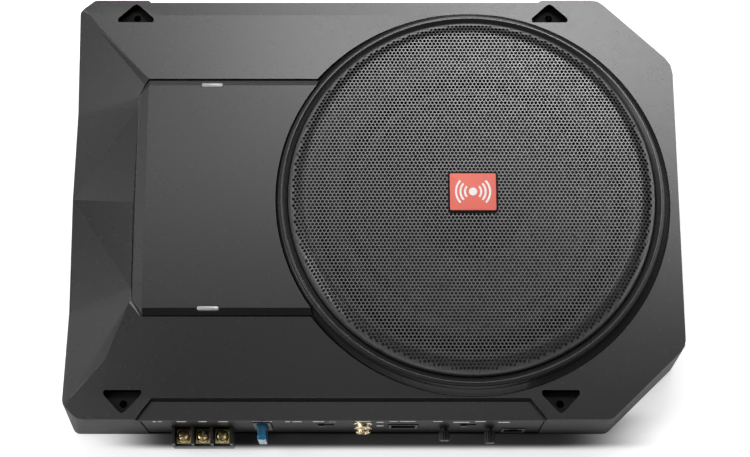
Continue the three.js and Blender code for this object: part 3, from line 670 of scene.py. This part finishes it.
cone_top = [(67.6, 52.9), (64, 52.4)]
for k in range(1, 19):  # shallow pressed ribs run round the cone
    t = k / 19
    r = 64 - (64 - 20.6) * t
    cone_top.append((r, 52.4 - 12.6 * (t ** 0.92) + (0.22 if k % 3 == 0 else 0)))
cone_low = [(20.6, 39.0), (40, 44.3), (64.4, 51.5), (67.6, 52.0)]
make("cone_shell", lathe(cone_top + [(20.6, 39.8)] + cone_low, 160), body="cone_assembly", mat=M["cone_paper"], replaces=["cone"], sharp=60)
cap = [(0, 51.2)]
for k in range(1, 15):
    r = 31.6 * k / 14
    cap.append((r, 43.4 + 7.8 * math.cos(math.pi / 2 * (r / 31.6)) ** 0.92))
make("dust_cap_dome", lathe(cap + [(30.8, 43.35), (24, 46.4), (13, 49.4), (0, 50.4)], 128), body="cone_assembly", mat=M["cone_paper"], replaces=["dust_cap"], sharp=60)
make("coil_former", lathe([(19, 19), (20.2, 19), (20.2, 31), (19.7, 31), (19.7, 38.6), (19, 38.6)], 96), body="cone_assembly", mat=M["winding"], replaces=["voice_coil"])
sp = [(20.6, 35.8)]
for k in range(1, 40):
    t = k / 40
    sp.append((20.6 + (51 - 20.6) * t, 35.4 - 3.2 * ease(t) + 1.0 * math.sin(t * math.pi * 7) * (1 - t * 0.4)))
sp.append((51, 32.4))
spider = make("spider_disc", lathe(sp + [(r, z - 0.5) for r, z in sp[::-1]], 120), mat=M["spider_cloth"], replaces=["spider"], ride=False, sharp=60)
radial_blend(spider, 48.5, 22.0)
make("magnet_top_plate_turned", lathe(soften([(21.3, 24.3), (49, 24.3), (49, 29.1), (21.3, 29.1)], 0.5), 96), mat=M["steel"], replaces=["magnet_top_plate"])
make("ferrite_ring", lathe(soften([(26, 12.4), (53, 12.4), (53, 24), (26, 24)], 0.9), 96), mat=M["ferrite"], replaces=["magnet_ring"])
make("yoke", lathe(soften([(6, 8), (48, 8), (48, 12.1), (17.8, 12.1), (17.8, 29.1), (6, 29.1)], 0.7), 96), mat=M["steel"], replaces=["magnet_yoke"])
refined("woofer_basket", 0.35, 2, 25, M["component_black"], name="basket_frame")

# ------------------------------------------------------------------ underside
refined("bottom_plate", 0.35, 2, 20, M["panel_plastic"], name="base_plate")
for k, (x, y) in enumerate([(-150, 92), (142, 78), (-150, -92), (142, -78)]):
    prof = [(0, 0.35), (3.6, 0.35), (4.0, 0.0), (5.4, 0.0), (5.8, 0.35), (6.6, 0.35), (7.0, 0.0), (8.1, 0.0), (8.7, 0.35), (9.0, 0.9), (9.0, 1.8), (0, 1.8)]
    make(f"foot_{k + 1}", lathe(prof, 64, x, y), mat=M["rubber"], replaces=[f"rubber_foot_{k + 1}"], sharp=40)
for k, (x, y) in enumerate([(-160, 58), (-160, -58), (163, 50), (163, -50)]):
    prof = [(0, 0.5), (2.6, 0.5), (3.2, 0.9), (3.5, 1.4), (3.5, 1.8), (1.6, 1.8), (1.6, 13.6), (0.5, 14.6), (0, 14.6)]
    ob = make(f"casing_screw_{k + 1}", lathe(prof, 40, x, y), mat=M["steel"], replaces=[f"base_screw_{k + 1}"], sharp=30)
    cut(ob, block(x - 1.7, x + 1.7, y - 0.35, y + 0.35, 0, 1.4))
    cut(ob, block(x - 0.35, x + 0.35, y - 1.7, y + 1.7, 0, 1.4))
    settle(ob, "enclosure", M["steel"], (), 30, ride=False)

# ------------------------------------------------------------------ amplifier inside
for node, mat_ in (("amp_board", "board"), ("heat_spreader", "aluminium"), ("output_transistor_1", "component_black"), ("output_transistor_2", "component_black"),
                   ("speaker_lead_red", "red_plastic"), ("speaker_lead_black", "rubber")):
    refined(node, 0.25, 2, 30, M[mat_])
make("toroid", lathe(soften([(10, 11.4), (26.5, 11.4), (26.5, 30), (10, 30)], 5, steps=6), 72, -72, 50), mat=M["winding"], replaces=["power_transformer"], sharp=60)
for k, (x, y) in enumerate([(-74, -4), (-74, -28)]):
    prof = [(0, 11.4), (8.4, 11.4), (9, 12), (9, 13), (8.5, 13.6), (9, 14.2), (9, 40.2), (8.3, 40.9), (7.4, 40.9), (6.8, 40.5), (0, 40.5)]
    make(f"capacitor_{k + 1}", lathe(prof, 48, x, y), mat=M["component_black"], replaces=[f"filter_capacitor_{k + 1}"])

# ------------------------------------------------------------------ control panel
refined("control_panel", 0.25, 2, 30, M["panel_plastic"], name="panel_face")
refined("terminal_block", 0.3, 3, 30, M["component_black"], name="terminal_body")
for k, x in enumerate((-109.4, -98.4, -87.4)):
    refined(f"terminal_clamp_{k + 1}", 0.22, 3, 30, M["brass"], name=f"clamp_washer_{k + 1}")
    prof = soften([(0, 11.4), (1.4, 11.4), (1.4, 19.7), (3.5, 19.7), (3.7, 20.3), (3.5, 21.5), (2.5, 22.25), (0, 22.4)], 0.3, closed=False)
    head = make(f"clamp_screw_{k + 1}", lathe(prof, 48, x, -129.2), body=f"screw_{k + 1}", mat=M["brass"], replaces=[f"terminal_screw_{k + 1}"], sharp=30)
    a = math.radians((18, -9, 33)[k])
    for turn in (a, a + math.pi / 2):
        c, s = math.cos(turn), math.sin(turn)
        pts = [(x + c * u - s * w, -129.2 + s * u + c * w) for u, w in ((-2.7, -0.55), (2.7, -0.55), (2.7, 0.55), (-2.7, 0.55))]
        cut(head, loft(pts, 20.75, pts, 24))
    settle(head, f"screw_{k + 1}", M["brass"], (), 30, ride=False)

refined("fuse_holder", 0.3, 3, 30, M["component_black"], name="fuse_socket")
FX, FZ = -63.6, 31


def slab_y(points, y0, y1):
    """Prism over (x, z) points, running along Y."""
    v, f = loft(points, y0, points, y1)
    return [(a, c, b) for a, b, c in v], f


def fuse_outline(hw, hh, r, z=FZ):
    return rounded([(FX - hw, z - hh), (FX + hw, z - hh), (FX + hw, z + hh), (FX - hw, z + hh)], r, 5)


fuse = Part()
layers = [(fuse_outline(2.45, 8.2, 0.5), -122.6), (fuse_outline(2.45, 8.2, 0.5), -131.2), (fuse_outline(2.45, 9.45, 0.7), -131.6),
          (fuse_outline(2.45, 9.45, 0.8), -133.3), (fuse_outline(2.15, 9.1, 0.7), -133.85), (fuse_outline(1.6, 8.5, 0.6), -134.0)]
fv, ff = stack([(p, y) for p, y in layers])
make("fuse_body", ([(a, c, b) for a, b, c in fv], ff), body="fuse", mat=M["fuse_blue"], replaces=["blade_fuse"], sharp=45)
blades = Part()
for s in (-1, 1):
    blades.add(block(FX - 0.35, FX + 0.35, -122.5, -114.1, FZ + s * 5.6 - 2.4, FZ + s * 5.6 + 2.4))
make("fuse_blades", blades, body="fuse", mat=M["fuse_metal"], sharp=30)

for name in ("turn_on_switch", "phase_switch"):
    refined(name + "_housing", 0.2, 2, 30, M["steel"])
    refined(name + "_button", 0.3, 3, 30, M["knob"])
for k, side in enumerate(("left", "right")):
    z = (36, 18.5)[k]
    prof = soften([(3.5, -127.0), (3.75, -127.1), (4.2, -126.7), (4.2, -124.8), (5.3, -124.8), (5.3, -121.9), (4.2, -121.9), (4.2, -112), (3.5, -112)], 0.15)
    make(f"rca_shell_{side}", lathe(prof, 56, -6.9, z, axis="Y"), mat=M["gold_plate"], replaces=[f"rca_barrel_{side}"], sharp=35)
    prof = soften([(1.7, -126.1), (3.2, -126.1), (3.2, -112.4), (0.0, -112.4)], 0.2, closed=False)
    prof = [(0, -118), (1.7, -118)] + prof
    make(f"rca_core_{side}", lathe(prof, 40, -6.9, z, axis="Y"), mat=M["red_plastic" if k else "white_plastic"], replaces=[f"rca_insert_{side}"], sharp=35)
refined("high_level_socket", 0.3, 3, 30, M["component_black"], name="input_socket")
refined("high_level_pins", 0.1, 2, 30, M["gold_plate"], name="input_pins")
refined("remote_jack", 0.3, 3, 30, M["component_black"], name="remote_socket")

for name, x, end in (("crossover", 39.7, -131.6), ("level", 65.6, -133.0)):
    refined(f"{name}_potentiometer", 0.3, 2, 30, M["steel"])

    def star(scale, n=120):
        out = []
        for k in range(n):
            a = 2 * math.pi * k / n
            r = (2.93 + 0.16 * max(-1, min(1, 2.2 * math.cos(13 * a)))) * scale
            out.append((x + r * math.cos(a), 20 + r * math.sin(a)))
        return out
    kv, kf = stack([(star(0.97), -126.2), (star(1.0), -126.6), (star(1.0), end + 0.7), (star(0.95), end + 0.2), (star(0.86), end)])
    ob = make(f"{name}_dial", ([(a, c, b) for a, b, c in kv], kf), body=f"{name}_knob_body", mat=M["knob"], replaces=[f"{name}_knob"], sharp=40)
    cut(ob, block(x - 0.35, x + 0.35, end - 1, end + 0.5, 20.5, 24))
    settle(ob, f"{name}_knob_body", M["knob"], (), 40, ride=False)
    make(f"{name}_dial_shaft", lathe([(0, -126.4), (1.9, -126.4), (1.9, -115), (0, -115)], 40, x, 20, axis="Y"), body=f"{name}_knob_body", mat=M["knob"], sharp=40)

# plain printed ticks over the connectors (no lettering)
ticks = Part()


def tick(u0, u1, z, h=2.4):
    x0, x1 = (u0 - 375) * 0.5582, (u1 - 375) * 0.5582
    ticks.add(block(x0, x1, -124.46, -124.39, z - h / 2, z + h / 2))


for u0, u1 in ((152, 155), (157, 161), (176, 185.6), (197.7, 206.3), (218, 227.8), (252, 261), (262, 271.6), (285, 290), (292, 301.6), (312.8, 324)):
    tick(u0, u1, 43.6, 2.2)
for u in (330, 332.2, 334.4):
    tick(u - 0.5, u + 0.5, 42.6, 1.6)
for u0, u1, z in ((355.5, 370.4, 43.9), (376.7, 383.7, 41.3), (376.7, 383.7, 28.8), (389.5, 398, 44.8), (400, 416, 44.8), (390.3, 400.3, 32.3),
                  (433.4, 442.8, 44.6), (454, 470, 41.3), (475.6, 486.3, 44.2), (499, 510.4, 41.3)):
    tick(u0, u1, z)
make("panel_marks", ticks, mat=M["print"], sharp=30)

# ------------------------------------------------------------------ any CAD node still shown gets the component_black finish
for n, ob in NODES.items():
    if not ob.hide_render:
        ob.data.materials.clear()
        ob.data.materials.append(M["component_black"])

# ------------------------------------------------------------------ studio
def floor_material():
    """Pale backdrop, evenly lit to white, with a painted shadow: a soft band under and just in front of the casing is
    darkened in colour and in glow.
    """
    m = material("studio_floor", (0.92, 0.92, 0.92), 0.8, spec=0.0, vary=0.01, vscale=3, grain=0.02, gscale=200)
    nt = m.node_tree
    N, L = nt.nodes.new, nt.links.new
    bsdf = next(n for n in nt.nodes if n.type == "BSDF_PRINCIPLED")
    base = bsdf.inputs["Base Color"].links[0].from_socket
    geo, sep = N("ShaderNodeTexCoord"), N("ShaderNodeSeparateXYZ")
    L(geo.outputs["Object"], sep.inputs[0])

    def ramp(sock, a, b, lo, hi):
        r = N("ShaderNodeMapRange")
        r.interpolation_type = "SMOOTHSTEP"
        for k, val in (("From Min", a), ("From Max", b), ("To Min", lo), ("To Max", hi)):
            r.inputs[k].default_value = val
        L(sock, r.inputs["Value"])
        return r.outputs["Result"]

    def times(a, b):
        x = N("ShaderNodeMath")
        x.operation = "MULTIPLY"
        L(a, x.inputs[0])
        L(b, x.inputs[1])
        return x.outputs[0]

    # painted shadow band on the floor, under and just in front of the casing
    near = ramp(sep.outputs["Y"], -0.1312, -0.1248, 0, 1)
    far = ramp(sep.outputs["Y"], -0.1120, -0.1000, 1, 0)
    left = ramp(sep.outputs["X"], -0.178, -0.112, 0, 1)
    right = ramp(sep.outputs["X"], 0.100, 0.188, 1, 0)
    shade = times(times(near, far), times(left, right))
    # inside the painted shadow the floor colour goes towards near-black and its glow goes out
    keep = ramp(shade, 0, 1, 1, 0.10)
    x = N("ShaderNodeMix")
    x.data_type = "RGBA"
    x.inputs[6].default_value = (0.02, 0.02, 0.02, 1)
    L(keep, x.inputs[0])
    L(base, x.inputs[7])
    L(x.outputs[2], bsdf.inputs["Base Color"])
    bsdf.inputs["Emission Color"].default_value = (1, 1, 1, 1)
    front = ramp(sep.outputs["Y"], -0.30, -0.134, 0.25, 1)
    glow = times(ramp(shade, 0, 1, FLOOR_GLOW, 0.0), front)
    L(glow, bsdf.inputs["Emission Strength"])
    return m


FLOOR_GLOW = 0.60
floor_mat = floor_material()
fl = bpy.data.meshes.new("studio_floor")
fl.from_pydata([(-3, -3, 0), (3, -3, 0), (3, 3, 0), (-3, 3, 0)], [], [(0, 1, 2, 3)])
floor = bpy.data.objects.new("studio_floor", fl)
bpy.context.scene.collection.objects.link(floor)
floor.location.z = -0.0002
fl.materials.append(floor_mat)

world = bpy.data.worlds.new("studio")
world.use_nodes = True


def tent(nt):
    """Dark overhead, paler towards the horizon and the back, as inside a light tent."""
    N, L = nt.nodes.new, nt.links.new
    back = next(n for n in nt.nodes if n.type == "BACKGROUND")
    back.inputs["Color"].default_value = (1, 1, 1, 1)
    tc, sep = N("ShaderNodeTexCoord"), N("ShaderNodeSeparateXYZ")
    L(tc.outputs["Generated"], sep.inputs[0])
    rise, turn, mul = N("ShaderNodeMapRange"), N("ShaderNodeMapRange"), N("ShaderNodeMath")
    for node, sock, vals in ((rise, "Z", (0.12, 0.62, 0.80, 0.05)), (turn, "Y", (-0.7, 0.35, 0.42, 1.0))):
        node.interpolation_type = "SMOOTHSTEP"
        for k, val in zip(("From Min", "From Max", "To Min", "To Max"), vals):
            node.inputs[k].default_value = val
        L(sep.outputs[sock], node.inputs["Value"])
    mul.operation = "MULTIPLY"
    L(rise.outputs["Result"], mul.inputs[0])
    L(turn.outputs["Result"], mul.inputs[1])
    L(mul.outputs[0], back.inputs["Strength"])


tent(world.node_tree)
bpy.context.scene.world = world


def area(name, loc, target, size, size_y, power):
    d = bpy.data.lights.new(name, "AREA")
    d.shape, d.size, d.size_y, d.energy = "RECTANGLE", size, size_y, power
    o = bpy.data.objects.new(name, d)
    bpy.context.scene.collection.objects.link(o)
    o.location = loc
    o.rotation_mode = "QUATERNION"
    o.rotation_quaternion = (Vector(target) - Vector(loc)).to_track_quat("-Z", "Y")
    return o


AREA_FACTOR = math.pi
# Flat panels of a soft overhead bank, 1.6 m up and facing down: (x0, x1, y0, y1 as tangents from the floor's middle, radiance)
BANK = [
    (-2.2, -0.9, -0.7, -0.1, 5.26),
    (-0.9, -0.35, -0.1, 0.15, 4.22),
    (-0.12, 0.1, -0.1, 0.15, 0.63),
    (-0.35, -0.12, 0.15, 0.27, 0.42),
    (-0.35, -0.12, 0.27, 0.4, 3.13),
    (-0.12, 0.1, 0.27, 0.4, 2.37),
    (0.25, 0.45, 0.27, 0.4, 9.83),
    (-2.2, -0.9, 0.4, 0.55, 3.97),
    (-0.35, -0.12, 0.4, 0.55, 0.2),
    (-0.12, 0.1, 0.4, 0.55, 7.29),
    (0.1, 0.25, 0.4, 0.55, 25.18),
    (0.25, 0.45, 0.4, 0.55, 11.78),
    (0.45, 1.2, 0.4, 0.55, 1.49),
    (-0.35, -0.12, 0.55, 0.85, 3.39),
    (-0.12, 0.1, 0.55, 0.85, 10.7),
    (-2.2, -0.9, 0.85, 1.4, 2.22),
]
for k, (x0, x1, y0, y1, radiance) in enumerate(BANK):
    w, d = (x1 - x0) * 1.6, (y1 - y0) * 1.6
    cx, cy = (x0 + x1) * 0.8, (y0 + y1) * 0.8
    area(f"bank_{k + 1}", (cx, cy, 1.6), (cx, cy, 0.0), w, d, radiance * w * d * AREA_FACTOR)
